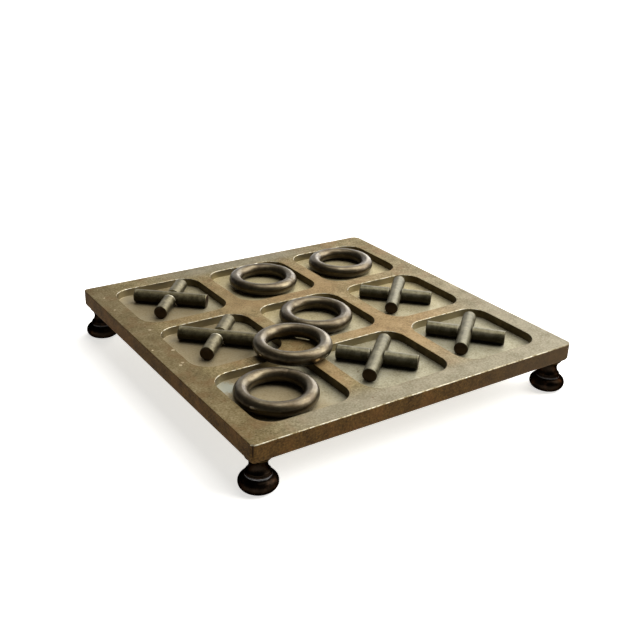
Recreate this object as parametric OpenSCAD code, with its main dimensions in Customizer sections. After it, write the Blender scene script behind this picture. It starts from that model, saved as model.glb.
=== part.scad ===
// Tic-tac-toe board in cast and machined metal: a thick plate with nine square pockets on four turned
// feet, with five rings of round rod and five crosses of half-lapped round bar.
// Millimetres. Origin at the middle of the board on the surface that it stands on. +Z is up, +X runs
// to the right along the front edge and +Y runs to the back.

/* [Board] */
// Side of each square pocket
pocket_side = 57; // [46:0.5:70]
// Width of the ribs between the pockets
rib_w = 9.4; // [8:0.2:16]
// Width of the border outside the pockets
border_w = 13.1; // [12:0.1:20]
// Thickness of the plate
board_t = 9.5; // [8.5:0.1:14]
// Depth of the pockets below the top
pocket_depth = 5; // [3:0.1:6.5]
// Radius of the pocket corners, seen from above
pocket_corner_r = 12; // [4:0.5:16]
// Radius of the board corners, seen from above
board_corner_r = 2.6; // [1:0.1:6]
// Rounding along the lower edge of the plate
lower_edge_r = 2.4; // [0.6:0.1:4]
// Chamfer along the pocket rims and the top edge
rim_chamfer = 0.4; // [0.2:0.05:1]

/* [Feet] */
// Distance from each foot's axis to both edges of the board
foot_inset = 8.2; // [7:0.1:12]
// Height of a foot
foot_h = 20.5; // [17:0.5:32]
// Diameter of the collar under the plate
collar_d = 13.8; // [11:0.1:16]
// Thickness of the collar
collar_t = 1.4; // [0.8:0.1:2.4]
// Diameter of the waist
waist_d = 8.6; // [7.4:0.1:10.5]
// Diameter over the bead above the bun
bead_d = 13.7; // [12.6:0.1:16]
// Radius of the bead's own rounding
bead_r = 2; // [1.2:0.1:2.4]
// Diameter of the bun
bun_d = 20.4; // [17:0.1:26]
// Height of the bun
bun_h = 8; // [6:0.1:10]

/* [Foot studs] */
// Diameter of a stud
stud_d = 5; // [4:0.5:6]
// Length of the stud in the plate
stud_in_board = 6; // [4:0.5:7]
// Length of the stud in the foot
stud_in_foot = 10; // [6:0.5:14]
// Radial play of a stud in its threads
thread_gap = 0.05; // [0.02:0.01:0.1]
// Free depth left at each end of a stud
stud_end_gap = 0.5; // [0.2:0.1:1]

/* [Rings] */
// Diameter over a ring, as a share of the side of a pocket
ring_share = 0.793; // [0.7:0.001:0.82]
// Diameter of the rod that a ring is bent from
ring_rod_d = 8.4; // [6:0.1:10]

/* [Crosses] */
// Gap between the ends of the bars and a ring that lies on the middle of a crossing of the ribs
bar_end_gap = 1.37; // [1.2:0.01:3]
// Diameter of a bar
bar_d = 8.2; // [7:0.1:10]
// Chamfer at the ends of a bar
bar_chamfer = 0.35; // [0.1:0.05:0.8]
// Play of the half-lap where two bars cross
lap_gap = 0.05; // [0.02:0.01:0.15]

/* [Resting] */
// Gap under a loose piece
rest_gap = 0.1; // [0.05:0.05:0.3]

/* [Hidden] */

// Roundness of the plan corners and turned shapes
$fn = 96;
// How far a cutting shape runs past the face that it opens
cut = 1;

pitch = pocket_side + rib_w;
board_side = 3 * pocket_side + 2 * rib_w + 2 * border_w;
board_top = foot_h + board_t;
floor_z = board_top - pocket_depth;
lower_r = min(lower_edge_r, board_corner_r - 0.1, board_t / 2);
foot_reach = board_side / 2 - foot_inset;

ring_od = ring_share * pocket_side;
ring_mid_r = (ring_od - ring_rod_d) / 2;
// Gap between a ring and the walls of its pocket when it lies in the middle
ring_clear = (pocket_side - ring_od) / 2;

// The bars end where a ring fits on a crossing of the ribs between their ends. The first value is how far
// one corner of a bar's end lies from the other along a wall, and the second is how far it stays from
// the middle of that crossing.
bar_end_step = bar_d * cos(45);
crossing_reach = ring_od / 2 + bar_end_gap;
// Gap between a cross and the walls of its pocket when it lies in the middle
cross_clear = (sqrt(2 * pow(crossing_reach, 2) - pow(bar_end_step, 2)) - bar_end_step - rib_w) / 2;
bar_len = (pocket_side - 2 * cross_clear) / cos(45) - bar_d;

// Column and row of each pocket with a ring, and how far the ring lies off its middle, as shares of its gap
RING_FRONT_LEFT = [-1, -1, -0.73, -0.31];
RING_CENTRE = [0, 0, 0.10, 0.37];
RING_BACK_CENTRE = [0, 1, 0.34, 0.31];
RING_BACK_RIGHT = [1, 1, -0.08, 0.39];

// The same for each cross
CROSS_FRONT_CENTRE = [0, -1, -0.14, 0.41];
CROSS_FRONT_RIGHT = [1, -1, -0.26, 0.30];
CROSS_MIDDLE_LEFT = [-1, 0, 0.08, 0.54];
CROSS_MIDDLE_RIGHT = [1, 0, -0.26, 0.40];
CROSS_BACK_LEFT = [-1, 1, 0.165, 0.34];

// Turn of each cross from the diagonals of its pocket, in degrees
front_centre_angle = -2.4;
front_right_angle = -3.5;
middle_left_angle = 1.5;
middle_right_angle = 0.4;
back_left_angle = 3.8;

// Which bar of each cross lies over the other: 1 for the one from back left to front right, -1 for the other
front_centre_over = -1;
front_right_over = -1;
middle_left_over = 1;
middle_right_over = -1;
back_left_over = 1;

// Middle of a piece that lies in a pocket, seen from above
function spot(place, gap) = [for (axis = [0, 1]) place[axis] * pitch + place[axis + 2] * gap];

// Corner at the end of the bar from back left to front right, seen from above: end is 1 to the front right,
// side is 1 to the back right
function bar_corner(place, angle, end, side) =
    let (turn = angle - 45)
    spot(place, cross_clear)
        + end * bar_len / 2 * [cos(turn), sin(turn)]
        + side * bar_d / 2 * [-sin(turn), cos(turn)];

// The spare ring lies on the crossing of the ribs, between the ends of two bars and beside a ring.
// It is pushed towards that ring and then towards the bar behind it, by shares of the room there.
push_share = 0.75;
slip_share = 1;
back_corner = bar_corner(CROSS_MIDDLE_LEFT, middle_left_angle, 1, -1);
front_corner = bar_corner(CROSS_FRONT_CENTRE, front_centre_angle, -1, -1);
between_bars = (back_corner + front_corner) / 2;
to_ring = spot(RING_FRONT_LEFT, ring_clear) - between_bars;
to_bar = back_corner - between_bars;
spare_spot = between_bars
    + push_share * (1 - ring_od / norm(to_ring)) * to_ring
    + slip_share * (1 - ring_od / 2 / norm(to_bar)) * to_bar;

// Heights and radii of the foot's turned outline
collar_r = collar_d / 2;
collar_bottom = foot_h - collar_t;
waist_r = waist_d / 2;
bead_mid = [bead_d / 2 - bead_r, bun_h + 0.4 * bead_r];
bun_rim_r = bun_h / 2;

// Radius of the one hollow arc that touches the bead, narrows to the waist and ends at the collar
function cove_radius() =
    let (
        rise = collar_bottom - bead_mid[1],
        bead_in = waist_r - bead_mid[0],
        collar_out = collar_r - waist_r,
        bead_rate = 2 * (bead_r - bead_in),
        bead_part = bead_r * bead_r - bead_in * bead_in,
        rate_gap = 2 * collar_out - bead_rate,
        spare_sq = rise * rise - collar_out * collar_out - bead_part,
        sum_term = 8 * rise * rise * collar_out - 2 * spare_sq * rate_gap,
        end_term = spare_sq * spare_sq + pow(2 * rise * collar_out, 2)
    )
    2 * end_term / (sum_term + sqrt(sum_term * sum_term - 4 * rate_gap * rate_gap * end_term));

cove_r = cove_radius();
cove_mid = [
    waist_r + cove_r,
    bead_mid[1] + sqrt(pow(cove_r + bead_r, 2) - pow(waist_r + cove_r - bead_mid[0], 2))
];

// Outline of the plate's edge: rounded below and chamfered above, from its corner's axis outwards
module edge_profile() {
    square([board_corner_r - lower_r, board_t - rim_chamfer]);
    intersection() {
        translate([board_corner_r - lower_r, lower_r]) circle(lower_r);
        translate([board_corner_r - lower_r, 0]) square(lower_r);
    }
    translate([0, lower_r]) square([board_corner_r, board_t - lower_r - rim_chamfer]);
    polygon([
        [0, board_t - rim_chamfer], [board_corner_r, board_t - rim_chamfer],
        [board_corner_r - rim_chamfer, board_t], [0, board_t]
    ]);
}

// Plate's full cross-section, run along its straight edges
module plate_span() {
    half_run = board_side / 2 - board_corner_r;
    rotate([90, 0, 0]) linear_extrude(2 * half_run, center = true) {
        translate([-half_run, 0]) square([2 * half_run, board_t]);
        for (side = [0, 1])
            mirror([side, 0]) translate([half_run, 0]) edge_profile();
    }
}

module plate_blank() {
    half_run = board_side / 2 - board_corner_r;
    plate_span();
    rotate([0, 0, 90]) plate_span();
    for (x = [-half_run, half_run], y = [-half_run, half_run])
        translate([x, y, 0]) rotate_extrude() edge_profile();
}

// Room cut for one pocket, from its floor to past its chamfered rim
module pocket_cut() {
    half = pocket_side / 2;
    run = pocket_side - 2 * pocket_corner_r;
    flare = rim_chamfer + cut;
    for (turn = [0, 90])
        rotate([90, 0, turn]) linear_extrude(run, center = true) {
            translate([-half, 0]) square([pocket_side, pocket_depth]);
            polygon([
                [-half, pocket_depth - rim_chamfer], [half, pocket_depth - rim_chamfer],
                [half + flare, pocket_depth + cut], [-half - flare, pocket_depth + cut]
            ]);
        }
    for (x = [-run / 2, run / 2], y = [-run / 2, run / 2])
        translate([x, y, 0]) {
            cylinder(r = pocket_corner_r, h = pocket_depth);
            translate([0, 0, pocket_depth - rim_chamfer])
                cylinder(r1 = pocket_corner_r, r2 = pocket_corner_r + flare, h = flare);
        }
}

module at_feet() {
    for (x = [-foot_reach, foot_reach], y = [-foot_reach, foot_reach])
        translate([x, y, 0]) children();
}

module board() {
    color("darkkhaki") translate([0, 0, foot_h]) difference() {
        plate_blank();
        for (column = [-1:1], row = [-1:1])
            translate([column * pitch, row * pitch, board_t - pocket_depth]) pocket_cut();
        at_feet() translate([0, 0, -cut])
            cylinder(d = stud_d + 2 * thread_gap, h = cut + stud_in_board + stud_end_gap, $fn = 48);
    }
}

// Turned outline of a foot: bun, bead, cove and collar
module foot_profile() {
    bun_core_r = bun_d / 2 - bun_rim_r;
    square([bun_core_r, bun_h]);
    translate([bun_core_r, bun_rim_r]) intersection() {
        circle(bun_rim_r);
        translate([0, -bun_rim_r]) square([bun_rim_r, bun_h]);
    }
    square([bead_mid[0], bead_mid[1] + bead_r]);
    translate(bead_mid) circle(bead_r);
    difference() {
        translate([0, bead_mid[1]]) square([collar_r, foot_h - bead_mid[1]]);
        translate(cove_mid) circle(cove_r);
        translate([bead_mid[0], 0]) square([collar_r, cove_mid[1] - cove_r / 2]);
    }
}

module foot(column, row) {
    hole_depth = stud_in_foot + stud_end_gap;
    color("#2a221c") translate([column * foot_reach, row * foot_reach, 0]) difference() {
        rotate_extrude() foot_profile();
        translate([0, 0, foot_h - hole_depth])
            cylinder(d = stud_d + 2 * thread_gap, h = hole_depth + cut, $fn = 48);
    }
}

module foot_studs() {
    color("silver") at_feet() translate([0, 0, foot_h - stud_in_foot])
        cylinder(d = stud_d, h = stud_in_foot + stud_in_board, $fn = 48);
}

module rod_ring(place, seat_z) {
    color("#8a7450") translate([place[0], place[1], seat_z + rest_gap + ring_rod_d / 2])
        rotate_extrude() translate([ring_mid_r, 0]) circle(d = ring_rod_d);
}

// Round bar along X with sawn and chamfered ends
module bar_blank() {
    rotate([0, 90, 0]) rotate_extrude() polygon([
        [0, -bar_len / 2], [bar_d / 2 - bar_chamfer, -bar_len / 2],
        [bar_d / 2, bar_chamfer - bar_len / 2], [bar_d / 2, bar_len / 2 - bar_chamfer],
        [bar_d / 2 - bar_chamfer, bar_len / 2], [0, bar_len / 2]
    ]);
}

// Bar with half of its thickness milled away where the other bar crosses it
module lapped_bar(notch_above) {
    notch_w = bar_d + 2 * lap_gap;
    side = notch_above ? 1 : -1;
    difference() {
        bar_blank();
        translate([0, 0, side * (bar_d - lap_gap) / 2]) cube([notch_w, bar_d + cut, bar_d], center = true);
    }
}

module cross_bar(place, angle, over, upper) {
    middle = spot(place, cross_clear);
    turn = angle + over * (upper ? -45 : 45);
    color(upper ? "#4c4a42" : "#6c6a5e")
        translate([middle[0], middle[1], floor_z + rest_gap + bar_d / 2])
        rotate([0, 0, turn]) lapped_bar(!upper);
}

board();
foot(-1, -1);  // foot_front_left
foot(1, -1);  // foot_front_right
foot(-1, 1);  // foot_back_left
foot(1, 1);  // foot_back_right
foot_studs();
rod_ring(spot(RING_FRONT_LEFT, ring_clear), floor_z);  // ring_front_left
rod_ring(spot(RING_CENTRE, ring_clear), floor_z);  // ring_centre
rod_ring(spot(RING_BACK_CENTRE, ring_clear), floor_z);  // ring_back_centre
rod_ring(spot(RING_BACK_RIGHT, ring_clear), floor_z);  // ring_back_right
rod_ring(spare_spot, board_top);  // ring_spare
cross_bar(CROSS_FRONT_CENTRE, front_centre_angle, front_centre_over, true);  // cross_front_centre_upper_bar
cross_bar(CROSS_FRONT_CENTRE, front_centre_angle, front_centre_over, false);  // cross_front_centre_lower_bar
cross_bar(CROSS_FRONT_RIGHT, front_right_angle, front_right_over, true);  // cross_front_right_upper_bar
cross_bar(CROSS_FRONT_RIGHT, front_right_angle, front_right_over, false);  // cross_front_right_lower_bar
cross_bar(CROSS_MIDDLE_LEFT, middle_left_angle, middle_left_over, true);  // cross_middle_left_upper_bar
cross_bar(CROSS_MIDDLE_LEFT, middle_left_angle, middle_left_over, false);  // cross_middle_left_lower_bar
cross_bar(CROSS_MIDDLE_RIGHT, middle_right_angle, middle_right_over, true);  // cross_middle_right_upper_bar
cross_bar(CROSS_MIDDLE_RIGHT, middle_right_angle, middle_right_over, false);  // cross_middle_right_lower_bar
cross_bar(CROSS_BACK_LEFT, back_left_angle, back_left_over, true);  // cross_back_left_upper_bar
cross_bar(CROSS_BACK_LEFT, back_left_angle, back_left_over, false);  // cross_back_left_lower_bar
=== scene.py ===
import math

import bmesh
import bpy
from mathutils import Matrix, Vector, noise


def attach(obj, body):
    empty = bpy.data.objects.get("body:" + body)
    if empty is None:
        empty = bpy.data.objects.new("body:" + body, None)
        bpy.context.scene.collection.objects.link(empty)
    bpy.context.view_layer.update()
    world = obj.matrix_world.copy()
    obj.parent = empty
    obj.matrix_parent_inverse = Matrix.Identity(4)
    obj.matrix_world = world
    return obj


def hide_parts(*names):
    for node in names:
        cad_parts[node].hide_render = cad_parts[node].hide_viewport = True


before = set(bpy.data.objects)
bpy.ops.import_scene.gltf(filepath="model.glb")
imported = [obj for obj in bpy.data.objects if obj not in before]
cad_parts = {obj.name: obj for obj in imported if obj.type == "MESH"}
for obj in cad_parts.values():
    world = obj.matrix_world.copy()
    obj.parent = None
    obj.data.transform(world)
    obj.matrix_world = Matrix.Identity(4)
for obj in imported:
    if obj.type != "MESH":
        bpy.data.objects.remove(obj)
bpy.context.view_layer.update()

scene = bpy.context.scene

# meshes are built in millimetres and made metres when they are finished
millimetre = 0.001
near = 0.01          # mm: how close a point counts as lying at a place
mergeSpun = 0.0005   # mm: points closer than this are joined after a shape is turned round its axis
mergeCut = 0.002     # mm: the same after a cut


def linear(hexColour):
    # sRGB hex to the linear colour that the shaders take
    values = [int(hexColour[i:i + 2], 16) / 255 for i in (1, 3, 5)]
    return [v / 12.92 if v <= 0.04045 else ((v + 0.055) / 1.055) ** 2.4 for v in values] + [1.0]


def setInputs(tree, node, inputs):
    # an input takes a value, or a link where it is given another node's output
    for name, value in inputs.items():
        if isinstance(value, bpy.types.NodeSocket):
            tree.links.new(value, node.inputs[name])
        else:
            node.inputs[name].default_value = value


def addNode(tree, kind, inputs, **settings):
    node = tree.nodes.new(kind)
    for name, value in settings.items():
        setattr(node, name, value)
    setInputs(tree, node, inputs)
    return node


def startMaterial(name):
    material = bpy.data.materials.new(name)
    material.use_nodes = True
    tree = material.node_tree
    return material, tree, tree.nodes["Principled BSDF"]


def axesOf(tree, vector):
    return addNode(tree, "ShaderNodeSeparateXYZ", {0: vector}).outputs[:3]


def maths(tree, operation, *values):
    return addNode(tree, "ShaderNodeMath", dict(enumerate(values)), operation=operation).outputs[0]


def ranged(tree, value, low, high, least=0.0, most=1.0, kind="LINEAR"):
    # least at low, most at high, and never past them
    ends = {0: value, 1: low, 2: high, 3: least, 4: most}
    return addNode(tree, "ShaderNodeMapRange", ends, interpolation_type=kind).outputs[0]


def eased(tree, value, low, high, least=0.0, most=1.0):
    return ranged(tree, value, low, high, least, most, "SMOOTHSTEP")


def colourRamp(tree, value, stops):
    # stops are (place, hex colour)
    node = addNode(tree, "ShaderNodeValToRGB", {0: value})
    elements = node.color_ramp.elements
    while len(elements) < len(stops):
        elements.new(0.5)
    for element, (place, colour) in zip(elements, stops):
        element.position = place
        element.color = linear(colour)
    return node.outputs[0]


def mixColours(tree, share, first, second):
    # the second colour, a hex one or a link, lies over the first by its share
    second = linear(second) if isinstance(second, str) else second
    return addNode(tree, "ShaderNodeMix", {0: share, 6: first, 7: second}, data_type="RGBA").outputs[2]


def mixValues(tree, share, first, second):
    return addNode(tree, "ShaderNodeMix", {0: share, 2: first, 3: second}, data_type="FLOAT").outputs[0]


def clouds(tree, spot, size, detail, roughness):
    # noise whose blotches are about as large as size
    inputs = {"Vector": spot, "Scale": 1 / size, "Detail": detail, "Roughness": roughness}
    return addNode(tree, "ShaderNodeTexNoise", inputs).outputs[0]


def bumped(tree, height, strength, distance):
    inputs = {"Strength": strength, "Distance": distance, "Height": height}
    return addNode(tree, "ShaderNodeBump", inputs).outputs[0]


def nearSpots(tree, spot, spots, stretch=(1, 1, 1)):
    # 1 inside the spots, each given as (x, y, z, radius) in mm, 0 outside, with a broken outline
    breaks = clouds(tree, spot, 1 / 900, 2.0, 0.5)   # about a millimetre
    share = None
    for x, y, z, radius in spots:
        middle = (x * millimetre, y * millimetre, z * millimetre)
        away = addNode(tree, "ShaderNodeVectorMath", {0: spot, 1: middle}, operation="SUBTRACT").outputs[0]
        away = addNode(tree, "ShaderNodeVectorMath", {0: away, 1: stretch}, operation="MULTIPLY").outputs[0]
        away = addNode(tree, "ShaderNodeVectorMath", {0: away}, operation="LENGTH").outputs["Value"]
        broken = maths(tree, "MULTIPLY_ADD", breaks, radius * millimetre, away)
        inside = ranged(tree, broken, radius * 1.5 * millimetre, radius * 1.1 * millimetre)
        share = inside if share is None else maths(tree, "MAXIMUM", share, inside)
    return share


# camera at the photograph's place
cameraPlace = {
    "place": (-0.28305, -0.4115, 0.2539),
    "right": (0.8296, -0.5574, 0.0325),
    "up": (0.2064, 0.3602, 0.9097),
    "back": (-0.5188, -0.7480, 0.4139),
    "lens": 50.23,
    "sensor": 36,
    "clip": (0.02, 50),   # metres
}


def setCamera():
    data = bpy.data.cameras.new("photoCamera")
    data.lens = cameraPlace["lens"]
    data.sensor_width = cameraPlace["sensor"]
    data.clip_start, data.clip_end = cameraPlace["clip"]
    camera = bpy.data.objects.new("photoCamera", data)
    scene.collection.objects.link(camera)
    axes = [Vector(cameraPlace[key]).normalized() for key in ("right", "up", "back")]
    camera.rotation_mode = "QUATERNION"
    camera.rotation_quaternion = Matrix(axes).transposed().to_quaternion()
    camera.location = cameraPlace["place"]
    scene.camera = camera


setCamera()
print("camera set")

# pale floor and soft studio light
studio = {
    "floorSide": 24.0,      # metres
    "floorColour": "#f4f3f0",
    "floorGlow": 0.75,
    "surroundings": 0.05,   # the dim room that the metal mirrors; the camera itself sees it white
    # large soft cards: direction that each stands in, strength, width in degrees
    "cards": {
        "keyCard": ((0.72, -0.20, 0.67), 2.8, 48),
        "lowCard": ((0.80, -0.46, 0.38), 0.5, 44),
        "sideCard": ((0.80, 0.50, 0.33), 1.1, 38),
        "backCard": ((0.45, 0.80, 0.40), 0.55, 56),
    },
    # a soft box near the board, above its right half: place and size in metres, power in watts
    "topBox": {"place": (0.22, 0.05, 0.80), "size": 0.62, "power": 4.0},
}


def buildStudio():
    world = bpy.data.worlds.new("paleStudio")
    world.use_nodes = True
    tree = world.node_tree
    seen = addNode(tree, "ShaderNodeLightPath", {}).outputs["Is Camera Ray"]
    strength = ranged(tree, seen, 0.0, 1.0, studio["surroundings"], 1.0)
    setInputs(tree, tree.nodes["Background"], {"Color": linear("#ffffff"), "Strength": strength})
    scene.world = world
    scene.view_settings.view_transform = "Standard"

    bm = bmesh.new()
    bmesh.ops.create_grid(bm, x_segments=1, y_segments=1, size=studio["floorSide"] / 2)
    mesh = bpy.data.meshes.new("studioFloor")
    bm.to_mesh(mesh)
    bm.free()
    floor = bpy.data.objects.new("studioFloor", mesh)
    scene.collection.objects.link(floor)
    material, tree, shader = startMaterial("paleFloorPaper")
    paper = linear(studio["floorColour"])
    setInputs(tree, shader, {"Base Color": paper, "Roughness": 0.9, "Specular IOR Level": 0.1,
                             "Emission Color": paper, "Emission Strength": studio["floorGlow"]})
    mesh.materials.append(material)

    for name, (direction, energy, width) in studio["cards"].items():
        light = bpy.data.lights.new(name, "SUN")
        light.energy = energy
        light.angle = math.radians(width)
        card = bpy.data.objects.new(name, light)
        card.rotation_mode = "QUATERNION"
        card.rotation_quaternion = Vector(direction).to_track_quat("Z", "Y")
        scene.collection.objects.link(card)

    light = bpy.data.lights.new("topBox", "AREA")
    light.shape = "SQUARE"
    light.size = studio["topBox"]["size"]
    light.energy = studio["topBox"]["power"]
    box = bpy.data.objects.new("topBox", light)
    box.location = studio["topBox"]["place"]
    box.visible_camera = False
    scene.collection.objects.link(box)


buildStudio()
print("studio built")


def finishPiece(bm, name, body, nodes, materials, weighted=False):
    # the bmesh, built in millimetres, becomes a piece that stands for its CAD nodes
    bmesh.ops.scale(bm, vec=(millimetre,) * 3, verts=bm.verts)
    for face in bm.faces:
        face.smooth = True
    mesh = bpy.data.meshes.new(name)
    bm.to_mesh(mesh)
    bm.free()
    for material in materials:
        mesh.materials.append(material)
    piece = bpy.data.objects.new(name, mesh)
    scene.collection.objects.link(piece)
    if weighted:
        weights = piece.modifiers.new("flatFacesLead", "WEIGHTED_NORMAL")
        weights.weight = 100
        weights.keep_sharp = True
    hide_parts(*nodes)
    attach(piece, body)


def cutAway(bm, cutter):
    # takes the cutter's closed solids out of bm with Blender's exact boolean
    objects = []
    for source in (bm, cutter):
        mesh = bpy.data.meshes.new("cutting")
        source.to_mesh(mesh)
        source.free()
        one = bpy.data.objects.new("cutting", mesh)
        scene.collection.objects.link(one)
        objects.append(one)
    whole, tool = objects
    cut = whole.modifiers.new("cut", "BOOLEAN")
    cut.operation = "DIFFERENCE"
    cut.solver = "EXACT"
    cut.object = tool
    graph = bpy.context.evaluated_depsgraph_get()
    result = bmesh.new()
    result.from_mesh(whole.evaluated_get(graph).to_mesh())
    for one in objects:
        mesh = one.data
        bpy.data.objects.remove(one)
        bpy.data.meshes.remove(mesh)
    bmesh.ops.remove_doubles(result, verts=result.verts, dist=mergeCut)
    bmesh.ops.recalc_face_normals(result, faces=result.faces)
    return result


def bevelEdges(bm, edges, offset, segments):
    return bmesh.ops.bevel(bm, geom=edges, offset=offset, offset_type="OFFSET", segments=segments,
                           profile=0.5, affect="EDGES", material=-1, clamp_overlap=False)["faces"]


def roundedBlock(size, middle, cornerRadii, cornerSegments, lowerRadius, lowerSegments):
    # block with a rounded lower edge and rounded upright corners, whose radii are given as
    # front left, front right, back left, back right
    bm = bmesh.new()
    bmesh.ops.create_cube(bm, size=1)
    bmesh.ops.scale(bm, vec=size, verts=bm.verts)
    bmesh.ops.translate(bm, vec=middle, verts=bm.verts)
    corners = [(middle[0] + x * size[0] / 2, middle[1] + y * size[1] / 2) for y in (-1, 1) for x in (-1, 1)]
    for (x, y), radius in zip(corners, cornerRadii):
        upright = [e for e in bm.edges if all((v.co.xy - Vector((x, y))).length < near for v in e.verts)]
        bevelEdges(bm, upright, radius, cornerSegments)
    bottom = min(v.co.z for v in bm.verts) + near
    lower = [e for e in bm.edges if all(v.co.z < bottom for v in e.verts)]
    bevelEdges(bm, lower, lowerRadius, lowerSegments)
    return bm


def spinRound(bm, steps):
    # turns all points and edges once round the upright axis into a closed solid
    bmesh.ops.spin(bm, geom=bm.verts[:] + bm.edges[:], cent=(0, 0, 0), axis=(0, 0, 1), angle=math.tau,
                   steps=steps, use_merge=True, use_duplicate=False)
    bmesh.ops.remove_doubles(bm, verts=bm.verts, dist=mergeSpun)
    bmesh.ops.recalc_face_normals(bm, faces=bm.faces)


def spinOutline(points, steps):
    # the outline is given as radius and height, from the axis back to the axis
    bm = bmesh.new()
    verts = [bm.verts.new((radius, 0, height)) for radius, height in points]
    for pair in zip(verts, verts[1:]):
        bm.edges.new(pair)
    spinRound(bm, steps)
    return bm


# aged bronze of the plate: cast, ground on top, with a brown patina left on its walls and sides
bronze = {
    # sizes of the patterns in metres
    "grain": 0.0011,       # the ground surface's grit, drawn about twice as coarse so that it shows
    "mottle": 0.009,       # blotches of the patina
    "drift": 0.055,        # slow change of tone over the plate
    "warmPatch": 0.016,    # rusty patches
    "speckCell": 0.008,    # spacing of the rust specks
    "pitCell": 0.0075,     # spacing of the cream pits
    # tones by the pattern's value
    "brownTop": [(0.38, "#5d5135"), (0.47, "#7a6c46"), (0.55, "#8c7d58"), (0.66, "#a5956f")],
    "paleTop": [(0.38, "#7a735b"), (0.47, "#857d68"), (0.55, "#8c8570"), (0.66, "#968e78")],
    "copperRibs": [(0.38, "#7a6344"), (0.50, "#91784f"), (0.64, "#9e855d")],
    "floors": [(0.34, "#847c64"), (0.48, "#a39c82"), (0.64, "#b1ab94")],
    "backFloors": [(0.34, "#9c8e69"), (0.48, "#c2b287"), (0.64, "#d0c197")],
    "walls": [(0.34, "#524730"), (0.50, "#64593e"), (0.64, "#786a4a")],
    "sides": [(0.36, "#2c1f0e"), (0.47, "#422f16"), (0.55, "#4f3a1c"), (0.66, "#614522")],
    # tones laid over those in places
    "rustyTop": "#805f3a", "leftTop": "#5c4d33", "leftFloors": "#907c57",
    # the front walls' tone is painted light, the left walls' tone painted shade
    "litFrontWalls": "#9f957a", "shadedLeftWalls": "#2a1f0e", "rustySides": "#684724", "rightSides": "#43382a",
    "speck": "#5a3216", "pit": "#e0cfa8", "chip": "#b0a080", "darkLine": "#1c1006",
    # zones in metres: where the share is least and where it is greatest, then the two shares if not 0 and 1
    "topHeight": (0.0258, 0.0292),
    "sidesReach": (0.1045, 0.1070),
    "frontBorder": (-0.082, -0.099), "frontAcross": (-0.105, -0.060, 0.0, 0.85),
    "backBorder": (0.088, 0.100), "backAcross": (0.080, 0.030, 0.0, 0.75),
    # painted light: the top turns paler towards the right front
    "litRightFront": (0.02, 0.18, 0.0, 0.9),
    "ribsReach": (0.098, 0.055),
    "leftBorder": (-0.086, -0.098, 0.0, 0.4),
    "backRows": (-0.050, 0.030, 0.0, 0.75), "rightColumns": (-0.050, -0.030),
    "leftColumn": (-0.035, -0.060, 0.0, 0.6),
    "rightHalf": (0.0, 0.09, 0.0, 0.6),
    "darkLineWidth": (0.0009, 0.0004, 0.0, 0.85), "darkLineHeight": (0.0225, 0.0240),
    "nearCorner": -0.2132,   # x + y, in metres, that the dark line's corner lies under
    "pitsLeftOf": -0.094,
    # x, y, z and radius in mm: chips down to bare metal on the left border
    "chips": [(-103.0, 67.8, 30, 0.9), (-96.4, 30.9, 30, 1.1), (-96.2, 0.5, 30, 1.3),
              (-98.4, -16.0, 30, 1.0), (-100.6, -18.2, 30, 1.2)],
    # colour and spots on the pocket floors: pale patches in the back left corners of the left pockets,
    # painted light where the light falls on them unshaded, and a dark patch, painted shadow under the spare
    # ring
    "floorLightAndShadow": [
        ("#a79b80", [(-87.0, 23.5, 25, 6.0), (-86.0, 89.5, 25, 8.0)]),
        ("#a7a798", [(-90.5, -43.0, 25, 9.0), (-86.0, -46.5, 25, 6.0)]),
        ("#6d6349", [(-20.5, -15.0, 25, 4.0)]),
    ],
}


def topTone(tree, across, along, reach, blend, rust, drift):
    # brown, and paler and greyer along the front border and the middle of the back border; paler towards the
    # right front as painted light, standing in for the brighter sheen there
    brown = colourRamp(tree, blend, bronze["brownTop"])
    brown = mixColours(tree, eased(tree, rust, 0.47, 0.64, 0.0, 0.5), brown, bronze["rustyTop"])
    pale = colourRamp(tree, blend, bronze["paleTop"])
    front = maths(tree, "MULTIPLY", eased(tree, along, *bronze["frontBorder"]),
                  eased(tree, across, *bronze["frontAcross"]))
    diagonal = maths(tree, "MULTIPLY_ADD", along, -0.8, across)
    back = maths(tree, "MULTIPLY", eased(tree, along, *bronze["backBorder"]),
                 eased(tree, maths(tree, "ABSOLUTE", across), *bronze["backAcross"]))
    paleShare = maths(tree, "MAXIMUM", front, back)
    paleShare = maths(tree, "MAXIMUM", paleShare, eased(tree, diagonal, *bronze["litRightFront"]))
    top = mixColours(tree, paleShare, brown, pale)
    # copper blush on the ribs between the pockets
    blush = maths(tree, "MULTIPLY", eased(tree, reach, *bronze["ribsReach"]),
                  eased(tree, drift, 0.36, 0.60, 0.3, 0.9))
    top = mixColours(tree, blush, top, colourRamp(tree, blend, bronze["copperRibs"]))
    return mixColours(tree, eased(tree, across, *bronze["leftBorder"]), top, bronze["leftTop"])


def floorTone(tree, spot, across, along, blend):
    # the pocket floors are paler than the top: a paler bloom, and partly painted light making up for the
    # light that the pocket walls keep off them; warmer and paler towards the back and browner in the left
    # column
    floor = colourRamp(tree, blend, bronze["floors"])
    warm = maths(tree, "MULTIPLY", eased(tree, along, *bronze["backRows"]),
                 eased(tree, across, *bronze["rightColumns"]))
    floor = mixColours(tree, warm, floor, colourRamp(tree, blend, bronze["backFloors"]))
    floor = mixColours(tree, eased(tree, across, *bronze["leftColumn"]), floor, bronze["leftFloors"])
    # painted light and painted shadow, in patches on the floors
    for colour, spots in bronze["floorLightAndShadow"]:
        floor = mixColours(tree, nearSpots(tree, spot, spots), floor, colour)
    return floor


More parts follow.
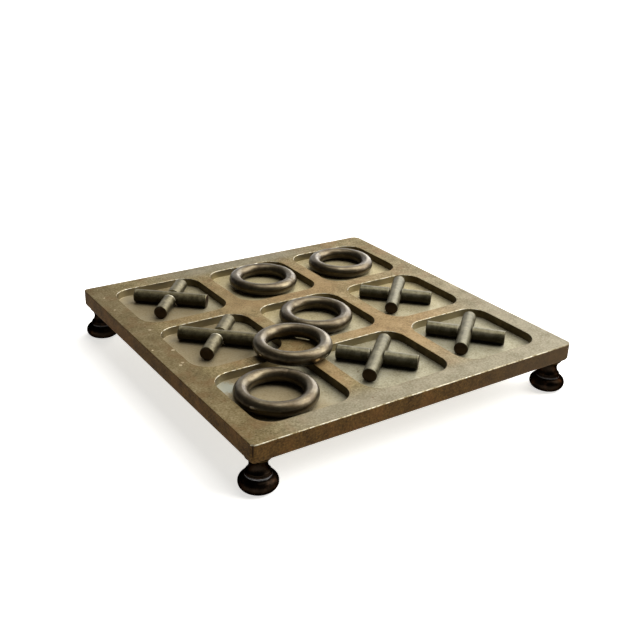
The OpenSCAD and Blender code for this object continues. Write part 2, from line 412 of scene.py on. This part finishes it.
def steepTone(tree, facing, across, outside, blend, mottle, rust):
    # olive patina on the pocket walls; painted lighter where they face the front, as painted light, and
    # darker where they face left, as painted shade
    wall = colourRamp(tree, mottle, bronze["walls"])
    wall = mixColours(tree, eased(tree, facing[1], -0.4, -0.95, 0.0, 0.8), wall, bronze["litFrontWalls"])
    wall = mixColours(tree, eased(tree, facing[0], -0.3, -0.9, 0.0, 0.2), wall, bronze["shadedLeftWalls"])
    # dark brown on the plate's sides, with rust, greyer towards the right
    side = colourRamp(tree, blend, bronze["sides"])
    side = mixColours(tree, eased(tree, rust, 0.48, 0.66, 0.0, 0.35), side, bronze["rustySides"])
    side = mixColours(tree, eased(tree, across, *bronze["rightHalf"]), side, bronze["rightSides"])
    return mixColours(tree, outside, wall, side)


def dots(tree, spot, cell, channel, chanceFrom, radius):
    # small dots in some of the cells, as wide as chance has it
    cells = addNode(tree, "ShaderNodeTexVoronoi", {"Vector": spot, "Scale": 1 / cell, "Randomness": 1.0})
    chance = addNode(tree, "ShaderNodeSeparateColor", {0: cells.outputs["Color"]}).outputs[channel]
    return maths(tree, "LESS_THAN", cells.outputs["Distance"],
                 eased(tree, chance, chanceFrom, 1.0, 0.0, radius))


def darkCornerLine(tree, across, along, height):
    # runs down the near upright corner, short of its lower end
    apart = maths(tree, "ABSOLUTE", maths(tree, "SUBTRACT", across, along))
    atCorner = maths(tree, "LESS_THAN", maths(tree, "ADD", across, along), bronze["nearCorner"])
    line = maths(tree, "MULTIPLY", eased(tree, apart, *bronze["darkLineWidth"]), atCorner)
    return maths(tree, "MULTIPLY", line, eased(tree, height, *bronze["darkLineHeight"]))


def bronzeMaterial():
    material, tree, shader = startMaterial("agedCastBronze")
    place = addNode(tree, "ShaderNodeTexCoord", {})
    spot = place.outputs["Object"]
    across, along, height = axesOf(tree, spot)
    facing = axesOf(tree, place.outputs["Normal"])
    # 1 on the ground top and the pocket floors, 0 on walls and sides
    level = eased(tree, facing[2], 0.35, 0.85)
    raised = eased(tree, height, *bronze["topHeight"])
    reach = maths(tree, "MAXIMUM", maths(tree, "ABSOLUTE", across), maths(tree, "ABSOLUTE", along))
    outside = eased(tree, reach, *bronze["sidesReach"])

    grain = clouds(tree, spot, bronze["grain"], 3.0, 0.65)
    mottle = clouds(tree, spot, bronze["mottle"], 6.0, 0.62)
    drift = clouds(tree, spot, bronze["drift"], 2.0, 0.5)
    rust = clouds(tree, spot, bronze["warmPatch"], 5.0, 0.65)
    blend = maths(tree, "MULTIPLY_ADD", grain, 0.6, maths(tree, "MULTIPLY", mottle, 0.4))

    flat = mixColours(tree, raised, floorTone(tree, spot, across, along, blend),
                      topTone(tree, across, along, reach, blend, rust, drift))
    steep = steepTone(tree, facing, across, outside, blend, mottle, rust)
    tone = mixColours(tree, level, steep, flat)
    # scattered rust specks about a millimetre across, and small cream pits on the left border
    speck = dots(tree, spot, bronze["speckCell"], 0, 0.55, 0.075)
    tone = mixColours(tree, maths(tree, "MULTIPLY", speck, 0.6), tone, bronze["speck"])
    pit = dots(tree, spot, bronze["pitCell"], 1, 0.45, 0.12)
    pit = maths(tree, "MULTIPLY", pit, maths(tree, "LESS_THAN", across, bronze["pitsLeftOf"]))
    pit = maths(tree, "MULTIPLY", pit, level)
    tone = mixColours(tree, maths(tree, "MULTIPLY", pit, 0.8), tone, bronze["pit"])
    tone = mixColours(tree, nearSpots(tree, spot, bronze["chips"]), tone, bronze["chip"])
    tone = mixColours(tree, darkCornerLine(tree, across, along, height), tone, bronze["darkLine"])

    # bare metal shows through on the flats and the pocket walls, and not on the sides
    metal = mixValues(tree, level, mixValues(tree, outside, 0.95, 0.0), 0.68)
    flatRough = eased(tree, blend, 0.3, 0.7, 0.66, 0.50)
    rough = mixValues(tree, level, mixValues(tree, outside, 0.48, 0.75), flatRough)
    relief = maths(tree, "MULTIPLY_ADD", mottle, 0.8, grain)
    setInputs(tree, shader, {"Base Color": tone, "Metallic": metal, "Specular IOR Level": 0.05,
                             "Roughness": rough, "Normal": bumped(tree, relief, 0.4, 0.0001)})
    return material


# edge rubbed bright by hands: clean bronze, with bits of patina left in it; laid only on the rims that face
# the front, where they catch the light, it is partly painted highlight
burnishedAndLit = {
    "patina": 0.0024,   # metres: size of the bits of patina
    "tones": [(0.38, "#6e6042"), (0.48, "#9f957a"), (0.62, "#b0aa97")],
    # duller towards the front right corner: tone, zone in metres with its shares, and the front's limit
    "dull": "#574a31", "dullAcross": (0.080, 0.098, 0.0, 0.8), "frontFrom": -0.1,
}


def burnishedAndLitMaterial():
    material, tree, shader = startMaterial("burnishedEdgeAndHighlight")
    spot = addNode(tree, "ShaderNodeTexCoord", {}).outputs["Object"]
    patina = clouds(tree, spot, burnishedAndLit["patina"], 3.0, 0.6)
    across, along = axesOf(tree, spot)[:2]
    dull = maths(tree, "MULTIPLY", ranged(tree, across, *burnishedAndLit["dullAcross"]),
                 maths(tree, "LESS_THAN", along, burnishedAndLit["frontFrom"]))
    tone = mixColours(tree, dull, colourRamp(tree, patina, burnishedAndLit["tones"]), burnishedAndLit["dull"])
    setInputs(tree, shader, {"Base Color": tone, "Metallic": 1.0,
                             "Roughness": ranged(tree, patina, 0.3, 0.7, 0.5, 0.26)})
    return material


# cast plate with its nine pockets
plate = {
    # sizes in mm; the photo's plate is thicker than its solid, whose underside is at 20.5
    "side": 216.0, "bottom": 19.0, "top": 30.0,
    # upright corners: front left, front right, back left, back right, as worn
    "cornerRadii": (2.6, 4.2, 2.6, 5.0), "cornerSegments": 6,
    "lowerRadius": 2.4, "lowerSegments": 5,
    "pitch": 66.4, "pocketSide": 57.0, "pocketFloor": 25.0,
    "pocketCorner": 12.0, "pocketSegments": 12,
    "floorFillet": 0.25, "filletSegments": 3,
    "rimEdge": 0.4, "rimSegments": 2,
    "highlightBelow": -0.2,   # rims that face the front get the bright edge, partly painted highlight: those whose normal's y is below this
    "studRadius": 2.55, "studTop": 27.0, "studSegments": 32, "footReach": 99.8,
    "cutAbove": 6.0, "cutBelow": 2.0,   # how far the cutting tools stand out of the plate
}


def buildPlate():
    thick = plate["top"] - plate["bottom"]
    bm = roundedBlock((plate["side"], plate["side"], thick), (0, 0, plate["bottom"] + thick / 2),
                      plate["cornerRadii"], plate["cornerSegments"],
                      plate["lowerRadius"], plate["lowerSegments"])
    cutter = bmesh.new()
    block = bpy.data.meshes.new("pocketBlock")
    height = plate["cutAbove"] + plate["top"] - plate["pocketFloor"]
    for column in (-1, 0, 1):
        for row in (-1, 0, 1):
            middle = (column * plate["pitch"], row * plate["pitch"], plate["pocketFloor"] + height / 2)
            pocket = roundedBlock((plate["pocketSide"], plate["pocketSide"], height), middle,
                                  [plate["pocketCorner"]] * 4, plate["pocketSegments"],
                                  plate["floorFillet"], plate["filletSegments"])
            pocket.to_mesh(block)
            pocket.free()
            cutter.from_mesh(block)
    bpy.data.meshes.remove(block)
    drill = plate["studTop"] - plate["bottom"] + plate["cutBelow"]
    for x in (-1, 1):
        for y in (-1, 1):
            middle = (x * plate["footReach"], y * plate["footReach"], plate["studTop"] - drill / 2)
            bmesh.ops.create_cone(cutter, cap_ends=True, segments=plate["studSegments"],
                                  radius1=plate["studRadius"], radius2=plate["studRadius"],
                                  depth=drill, matrix=Matrix.Translation(middle))
    bm = cutAway(bm, cutter)

    # rubbed edges: round the pocket rims and the plate's upper edge a little
    rims = []
    for edge in bm.edges:
        if len(edge.link_faces) == 2 and all(abs(v.co.z - plate["top"]) < near for v in edge.verts):
            steepest, flattest = sorted(abs(face.normal.z) for face in edge.link_faces)
            if steepest < 0.1 and flattest > 0.9:
                rims.append(edge)
    bevelled = bevelEdges(bm, rims, plate["rimEdge"], plate["rimSegments"])
    bm.normal_update()
    for face in bevelled:
        # the rims facing the front take the bright edge, partly painted highlight
        face.material_index = 1 if face.normal.y < plate["highlightBelow"] else 0
    print("plate rims:", len(rims), "edges")
    finishPiece(bm, "plate", "board", ["board"],
                [bronzeMaterial(), burnishedAndLitMaterial()], weighted=True)


buildPlate()
print("plate built")

# turned feet of brass, chemically blackened and waxed
foot = {
    # sizes in mm; the outline's arcs run between angles in degrees from the horizontal
    "reach": 99.8,
    "bunRadius": 10.2, "bunHeight": 8.0, "bunArc": (-90, 82), "bunPoints": 18,
    "beadMiddle": (4.85, 8.8), "beadRadius": 2.0, "beadArc": (-24, 40), "beadPoints": 8,
    "coveMiddle": (10.1, 14.0), "coveRadius": 5.3, "coveArc": (227.6, 137.2), "covePoints": 16,
    "collarRadius": 6.9, "collarBottom": 17.6, "collarEdge": 0.7, "top": 19.0,
    "boreRadius": 2.55, "boreBottom": 10.0,
    "steps": 72,
    # nearly black brown with a low, soft gloss
    "tones": [(0.35, "#120d08"), (0.55, "#1e1711"), (0.70, "#33241a")],
    "gloss": "#6b5a48",
    "wornAndLitLine": (8.35, 0.5), "wornAndLitTone": "#b4b4b6",      # mm: height and half width of the grey line, partly worn and partly painted highlight
    "brownFrom": (15.7, 18.1), "brownTone": "#3b2e1c",   # mm: heights where the collar turns brown
    "turnedEvery": 0.5,                                  # mm: spacing of the turning lines
}


def arcPoints(middle, radius, ends, count):
    # points of a turned outline on an arc between two angles in degrees
    start, end = ends
    turns = [math.radians(start + (end - start) * i / count) for i in range(count + 1)]
    return [(middle[0] + radius * math.cos(a), middle[1] + radius * math.sin(a)) for a in turns]


def footOutline():
    bunRim = foot["bunHeight"] / 2
    bun = arcPoints((foot["bunRadius"] - bunRim, bunRim), bunRim, foot["bunArc"], foot["bunPoints"])
    bead = arcPoints(foot["beadMiddle"], foot["beadRadius"], foot["beadArc"], foot["beadPoints"])
    cove = arcPoints(foot["coveMiddle"], foot["coveRadius"], foot["coveArc"], foot["covePoints"])
    collar = [(foot["collarRadius"], foot["collarBottom"] + foot["collarEdge"]),
              (foot["collarRadius"], foot["top"])]
    bore = [(foot["boreRadius"], foot["top"]), (foot["boreRadius"], foot["boreBottom"]),
            (0, foot["boreBottom"])]
    return [(0, 0)] + bun + bead + cove + collar + bore


def footMaterial():
    material, tree, shader = startMaterial("blackenedTurnedBrass")
    spot = addNode(tree, "ShaderNodeTexCoord", {}).outputs["Object"]
    across, along, height = axesOf(tree, spot)
    patch = clouds(tree, spot, 0.005, 4.0, 0.6)
    tone = colourRamp(tree, patch, foot["tones"])
    # a grey line round the bead, partly wear and partly painted highlight on its widest ring, clear on the
    # front left foot and faint on the others
    lineHeight, lineHalf = (value * millimetre for value in foot["wornAndLitLine"])
    away = maths(tree, "ABSOLUTE", maths(tree, "SUBTRACT", height, lineHeight))
    clear = ranged(tree, maths(tree, "ADD", across, along), -0.12, -0.10, 1.0, 0.2)
    wornAndLit = maths(tree, "MULTIPLY", ranged(tree, away, lineHalf, 0.0001), clear)
    tone = mixColours(tree, wornAndLit, tone, foot["wornAndLitTone"])
    # the bronze's brown rubbed onto the collar
    brownLow, brownHigh = (value * millimetre for value in foot["brownFrom"])
    tone = mixColours(tree, eased(tree, height, brownLow, brownHigh), tone, foot["brownTone"])
    wave = maths(tree, "SINE", maths(tree, "MULTIPLY", height, math.tau / (foot["turnedEvery"] * millimetre)))
    relief = maths(tree, "MULTIPLY_ADD", wave, 0.25, patch)
    setInputs(tree, shader, {"Base Color": tone, "Roughness": ranged(tree, patch, 0.3, 0.7, 0.28, 0.44),
                             "Metallic": 1.0, "Specular Tint": linear(foot["gloss"]),
                             "Normal": bumped(tree, relief, 0.35, 0.00008)})
    return material


def buildFeet():
    material = footMaterial()
    for side, x in (("left", -1), ("right", 1)):
        for end, y in (("front", -1), ("back", 1)):
            bm = spinOutline(footOutline(), foot["steps"])
            bmesh.ops.translate(bm, vec=(x * foot["reach"], y * foot["reach"], 0), verts=bm.verts)
            finishPiece(bm, f"turnedFoot_{end}_{side}", "board", [f"foot_{end}_{side}"],
                        [material], weighted=True)


buildFeet()
print("feet built")

# studs of plain zinc-grey steel, whose CAD solids are shown as they are
stud = {
    "threadEvery": 0.8,   # mm
    # painted shade: darker in the thread's grooves, lighter on its crests
    "tones": [(0.0, "#6d6d6b"), (1.0, "#a9a9a6")],
    "roughness": 0.35,
}


def studMaterial():
    material, tree, shader = startMaterial("threadedSteel")
    height = axesOf(tree, addNode(tree, "ShaderNodeTexCoord", {}).outputs["Object"])[2]
    wave = maths(tree, "SINE", maths(tree, "MULTIPLY", height, math.tau / (stud["threadEvery"] * millimetre)))
    # the thread's tones paint shade in its grooves
    setInputs(tree, shader, {"Base Color": colourRamp(tree, wave, stud["tones"]), "Metallic": 1.0,
                             "Roughness": stud["roughness"], "Normal": bumped(tree, wave, 1.0, 0.0003)})
    return material


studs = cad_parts["foot_studs"]
studs.data.materials.clear()
studs.data.materials.append(studMaterial())
print("studs dressed")

# rings of bent brass rod, rubbed smooth in use
ring = {
    "rodRadius": 4.2, "middleRadius": 18.4,   # mm
    "aroundSteps": 160, "rodSegments": 40,
    "wave": 0.10, "waveLength": 9.0,       # mm: how far the hand-finished rod strays from round
    "dent": 0.022, "dentLength": 1.8,      # mm: small dents and file marks
    "seamDepth": 0.22, "seamWidth": 0.9,   # mm: the groove left where the rod's ends meet
    "seamUneven": (0.75, 0.5, 0.7),        # mean share of its depth, the swing, and waves per mm
    # olive-grey patina, darker underneath as painted shade
    "tones": [(0.52, "#443824"), (0.69, "#594d39"), (0.80, "#655a44"), (0.98, "#766b54")],
    "under": "#1d150a",
    # x, y, z and radius in mm of small bright spots: painted highlights where the rod catches the light
    "glints": [(-90.9, -78.1, 30.4, 1.9), (-61.6, -36.2, 34.1, 1.5), (-37.2, -56.3, 33.6, 2.0),
               (-29.5, -54.0, 33.8, 1.4)],
    "glint": "#cfc4ae",
    "wax": (0.3, 0.2),                     # weight and roughness of a thin old coat
}
ringPlaces = {
    # middle x and y, height of the underside in mm, and the seam's angle in degrees
    "ring_front_left": (-70.7066, -68.2289, 25.1, 38),
    "ring_centre": (0.58995, 2.18282, 25.1, 200),
    "ring_back_centre": (2.00583, 68.22885, 25.1, 305),
    "ring_back_right": (65.92804, 68.7008, 25.1, 120),
    "ring_spare": (-39.1669, -33.8372, 30.1, -72),
}


def ringMaterial():
    material, tree, shader = startMaterial("handledBrassRod")
    place = addNode(tree, "ShaderNodeTexCoord", {})
    spot = place.outputs["Object"]
    patch = clouds(tree, spot, 0.009, 6.0, 0.66)
    fine = clouds(tree, spot, 0.0012, 3.0, 0.6)
    # rubbing streaks run round the ring: they change quickly with height and slowly along it
    flattened = addNode(tree, "ShaderNodeMapping", {0: spot, "Scale": (1, 1, 5)}).outputs[0]
    streak = clouds(tree, flattened, 0.006, 4.0, 0.6)
    patina = maths(tree, "MULTIPLY_ADD", streak, 0.5, patch)
    # painted shade: darker where the rod faces down
    shadedBelow = eased(tree, axesOf(tree, place.outputs["Normal"])[2], 0.30, -0.35, 0.0, 0.85)
    tone = mixColours(tree, shadedBelow, colourRamp(tree, patina, ring["tones"]), ring["under"])
    # painted highlights at the glints
    tone = mixColours(tree, nearSpots(tree, spot, ring["glints"], (1, 1, 2.4)), tone, ring["glint"])
    relief = maths(tree, "MULTIPLY_ADD", fine, 0.5, patina)
    coatWeight, coatRoughness = ring["wax"]
    setInputs(tree, shader, {"Base Color": tone, "Roughness": ranged(tree, patina, 0.6, 0.9, 0.46, 0.34),
                             "Metallic": 1.0, "Normal": bumped(tree, relief, 0.4, 0.0001),
                             "Coat Weight": coatWeight, "Coat Roughness": coatRoughness})
    return material


def wearRing(bm, seamAngle, shift):
    # slight unevenness inwards, and the shallow groove of the seam
    seam = Vector((math.cos(math.radians(seamAngle)), math.sin(math.radians(seamAngle)), 0))
    across = Vector((-seam.y, seam.x, 0))
    mean, swing, waves = ring["seamUneven"]
    for vert in bm.verts:
        core = Vector((vert.co.x, vert.co.y, 0)).normalized() * ring["middleRadius"]
        out = (vert.co - core).normalized()
        slow = noise.noise((vert.co + shift) / ring["waveLength"]) - 1
        quick = noise.noise((vert.co + shift) / ring["dentLength"]) - 1
        move = ring["wave"] * slow / 2 + ring["dent"] * quick / 2
        if vert.co.dot(seam) > 0:
            fromSeam = vert.co.dot(across) / ring["seamWidth"]
            uneven = mean + swing * noise.noise(vert.co * waves + shift)
            move -= ring["seamDepth"] * math.exp(-fromSeam ** 2) * uneven
        vert.co += out * move


def buildRing(name, material):
    x, y, bottom, seamAngle = ringPlaces[name]
    bm = bmesh.new()
    section = Matrix.Translation((ring["middleRadius"], 0, 0)) @ Matrix.Rotation(math.pi / 2, 4, "X")
    bmesh.ops.create_circle(bm, segments=ring["rodSegments"], radius=ring["rodRadius"], matrix=section)
    spinRound(bm, ring["aroundSteps"])
    wearRing(bm, seamAngle, Vector((x, y, 7 * seamAngle)))   # the shift gives each ring its own dents
    bmesh.ops.translate(bm, vec=(x, y, bottom + ring["rodRadius"]), verts=bm.verts)
    finishPiece(bm, "brassRing_" + name[5:], name, [name], [material])


ringFinish = ringMaterial()
for ringName in ringPlaces:
    buildRing(ringName, ringFinish)
print("rings built")

# crosses of two half-lapped steel bars
bar = {
    # sizes in mm
    "radius": 4.1, "length": 46.669, "chamfer": 0.35,
    "lineFromEnd": 1.05, "lineWidth": 0.28, "lineDepth": 0.09,   # the fine turned line near each end
    "notchWidth": 8.3, "lapPlay": 0.05, "cutBeyond": 2.0,
    "shoulderEdge": 0.12, "sharpFrom": 50,                       # degrees: the lap's edges bend more
    "steps": 64, "bottom": 25.1,
    # two copies of one grey-green, half matt finish, the second darker as painted shade on the left crosses:
    # tones, and the share of the painted highlight at the lap
    "oiled": ([(0.47, "#4a4530"), (0.60, "#67614a"), (0.70, "#76705a"), (0.81, "#88826b")], 0.15),
    "paintedLight": ([(0.47, "#474029"), (0.60, "#635b42"), (0.70, "#71694f"), (0.81, "#82795f")], 0.75),
    "shadedCrosses": ("cross_back_left", "cross_middle_left"),
    # the colour under the bars is painted shade, the bright one painted highlight
    "under": "#19150c", "bright": "#d2cbb2", "sawnEnd": "#463829",
}
crossPlaces = {
    # middle x and y in mm, the turn in degrees from the pocket's diagonals, and 1 where the bar
    # from back left to front right lies over the other one
    "cross_front_centre": (-1.27411, -62.66868, -2.4, -1),
    "cross_front_right": (64.0338, -63.66976, -3.5, -1),
    "cross_middle_left": (-65.67194, 4.91442, 1.5, 1),
    "cross_middle_right": (64.0338, 3.64031, 0.4, -1),
    "cross_back_left": (-64.89837, 69.49427, 3.8, 1),
}


def barOutline():
    half, radius = bar["length"] / 2, bar["radius"]
    line = half - bar["lineFromEnd"]
    end = [(0, half), (radius - bar["chamfer"], half), (radius, half - bar["chamfer"]), (radius, line),
           (radius - bar["lineDepth"], line - bar["lineWidth"] / 2), (radius, line - bar["lineWidth"])]
    # extra rows of points beside the notch keep the shading of the long faces even
    middle = [(radius, bar["notchWidth"] * share) for share in (1.2, 0.4, -0.4, -1.2)]
    return end + middle + [(r, -z) for r, z in reversed(end)]


def buildBar(notchAbove):
    # a bar along X with half of its thickness milled away at its middle
    bm = spinOutline(barOutline(), bar["steps"])
    bmesh.ops.rotate(bm, cent=(0, 0, 0), matrix=Matrix.Rotation(math.pi / 2, 3, "Y"), verts=bm.verts)
    cutter = bmesh.new()
    bmesh.ops.create_cube(cutter, size=1)
    depth = bar["radius"] * 2
    side = 1 if notchAbove else -1
    bmesh.ops.scale(cutter, vec=(bar["notchWidth"], depth + bar["cutBeyond"], depth), verts=cutter.verts)
    bmesh.ops.translate(cutter, vec=(0, 0, side * (depth - bar["lapPlay"]) / 2), verts=cutter.verts)
    bm = cutAway(bm, cutter)
    shoulders = []
    for edge in bm.edges:
        if len(edge.link_faces) == 2 and edge.calc_face_angle(0) > math.radians(bar["sharpFrom"]):
            if all(abs(v.co.x) < bar["notchWidth"] / 2 + 0.05 for v in edge.verts):
                shoulders.append(edge)
    bevelEdges(bm, shoulders, bar["shoulderEdge"], 2)
    return bm


def crossMaterial(name, tones, highlightShare):
    material, tree, shader = startMaterial(name)
    # the point's place on the bar in mm, lengthwise and towards the notch
    own = addNode(tree, "ShaderNodeAttribute", {}, attribute_name="barPlace").outputs["Vector"]
    lengthwise, notchward = axesOf(tree, own)[::2]
    # lines of the lathe run round the bar
    stretched = addNode(tree, "ShaderNodeMapping", {0: own, "Scale": (3.0, 0.6, 0.6)}).outputs[0]
    turned = clouds(tree, stretched, 1.0, 3.0, 0.6)
    patina = maths(tree, "MULTIPLY_ADD", turned, 0.25, clouds(tree, own, 5.0, 6.0, 0.7))
    tone = colourRamp(tree, patina, tones)

    # painted shade: dark below, but the lap's cut faces keep the bar's own tone
    notchEnd = bar["notchWidth"] / 2
    reach = maths(tree, "ABSOLUTE", lengthwise)
    facing = axesOf(tree, addNode(tree, "ShaderNodeTexCoord", {}).outputs["Normal"])
    shadedBelow = maths(tree, "MULTIPLY", eased(tree, facing[2], 0.5, -0.1, 0.0, 0.8),
                  maths(tree, "GREATER_THAN", reach, notchEnd + 0.1))
    tone = mixColours(tree, shadedBelow, tone, bar["under"])

    # painted highlight on the nearer arm along the edge of the lap's shoulder, and painted light on the
    # farther arm's shoulder face, which lies in shade
    atNotch = maths(tree, "GREATER_THAN", notchward, 0.6)
    away = maths(tree, "ABSOLUTE", maths(tree, "SUBTRACT", reach, notchEnd))
    paintedLight = maths(tree, "MULTIPLY", ranged(tree, away, 1.1, 0.5, 0.0, highlightShare), atNotch)
    paintedLight = maths(tree, "MULTIPLY", paintedLight, maths(tree, "LESS_THAN", lengthwise, 0.0))
    tone = mixColours(tree, paintedLight, tone, bar["bright"])
    face = maths(tree, "MULTIPLY", atNotch, maths(tree, "LESS_THAN", reach, notchEnd + 0.08))
    face = maths(tree, "MULTIPLY", face, maths(tree, "GREATER_THAN", lengthwise, 0.0))
    tone = mixColours(tree, maths(tree, "MULTIPLY", face, highlightShare), tone, bar["bright"])

    atEnd = ranged(tree, reach, bar["length"] / 2 - 0.12, bar["length"] / 2 - 0.02)
    tone = mixColours(tree, atEnd, tone, bar["sawnEnd"])
    setInputs(tree, shader, {"Base Color": tone, "Roughness": ranged(tree, patina, 0.45, 0.8, 0.36, 0.50),
                             "Metallic": 0.7, "Specular IOR Level": 0.2,
                             "Normal": bumped(tree, patina, 0.5, 0.0001)})
    return material


def buildCrosses():
    oiledSteel = crossMaterial("oiledSteelBar", *bar["oiled"])
    # a darker copy as painted shade for the left crosses
    shadedSteel = crossMaterial("shadedSteelBar", *bar["paintedLight"])
    for name, (x, y, turn, over) in crossPlaces.items():
        material = shadedSteel if name in bar["shadedCrosses"] else oiledSteel
        for level, notchAbove, quarter in (("upper", False, -45 * over), ("lower", True, 45 * over)):
            bm = buildBar(notchAbove)
            # keeps each point's place on the bar for its material, with the notch on the positive side
            own = bm.verts.layers.float_vector.new("barPlace")
            for vert in bm.verts:
                vert[own] = (vert.co.x, vert.co.y, vert.co.z if notchAbove else -vert.co.z)
            turned = Matrix.Rotation(math.radians(turn + quarter), 3, "Z")
            bmesh.ops.rotate(bm, cent=(0, 0, 0), matrix=turned, verts=bm.verts)
            bmesh.ops.translate(bm, vec=(x, y, bar["bottom"] + bar["radius"]), verts=bm.verts)
            finishPiece(bm, f"crossBar_{name[6:]}_{level}", name, [f"{name}_{level}_bar"],
                        [material], weighted=True)


buildCrosses()
print("crosses built")
